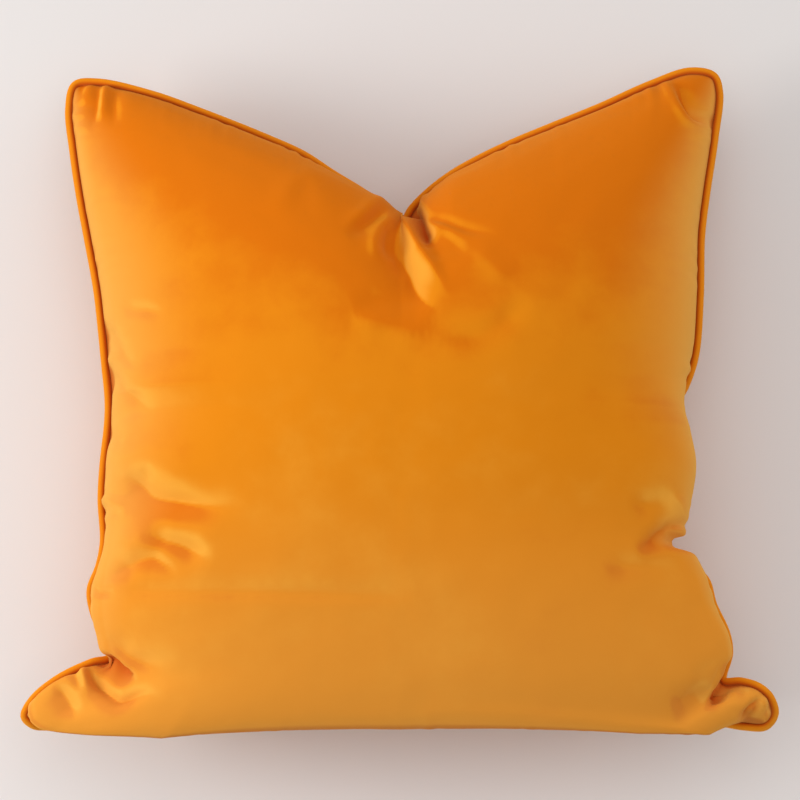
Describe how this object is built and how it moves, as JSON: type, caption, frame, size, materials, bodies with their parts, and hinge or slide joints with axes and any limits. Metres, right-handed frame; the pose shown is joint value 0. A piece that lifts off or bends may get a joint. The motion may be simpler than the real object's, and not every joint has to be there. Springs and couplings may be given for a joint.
{
  "type": "cushion cover",
  "caption": "Filled square velvet cushion cover with piped seams, splayed corners and a chopped top edge, lying on its back.",
  "frame": {"origin": "on the surface that the cushion lies on, under the middle of its outline", "axes": "+X to the cushion's right as its face is seen, +Y towards the chopped top edge, +Z out of the face"},
  "size_m": [0.547, 0.5068, 0.1996],
  "materials": {
    "velvet": "short cut-pile velvet in mustard orange, darker face on and paler along the grain",
    "piping_velvet": "the same velvet, drawn over a cord and sewn into the seam"
  },
  "bodies": {
    "root": {"cushion": "velvet", "piping": "piping_velvet"}
  },
  "joints": []
}
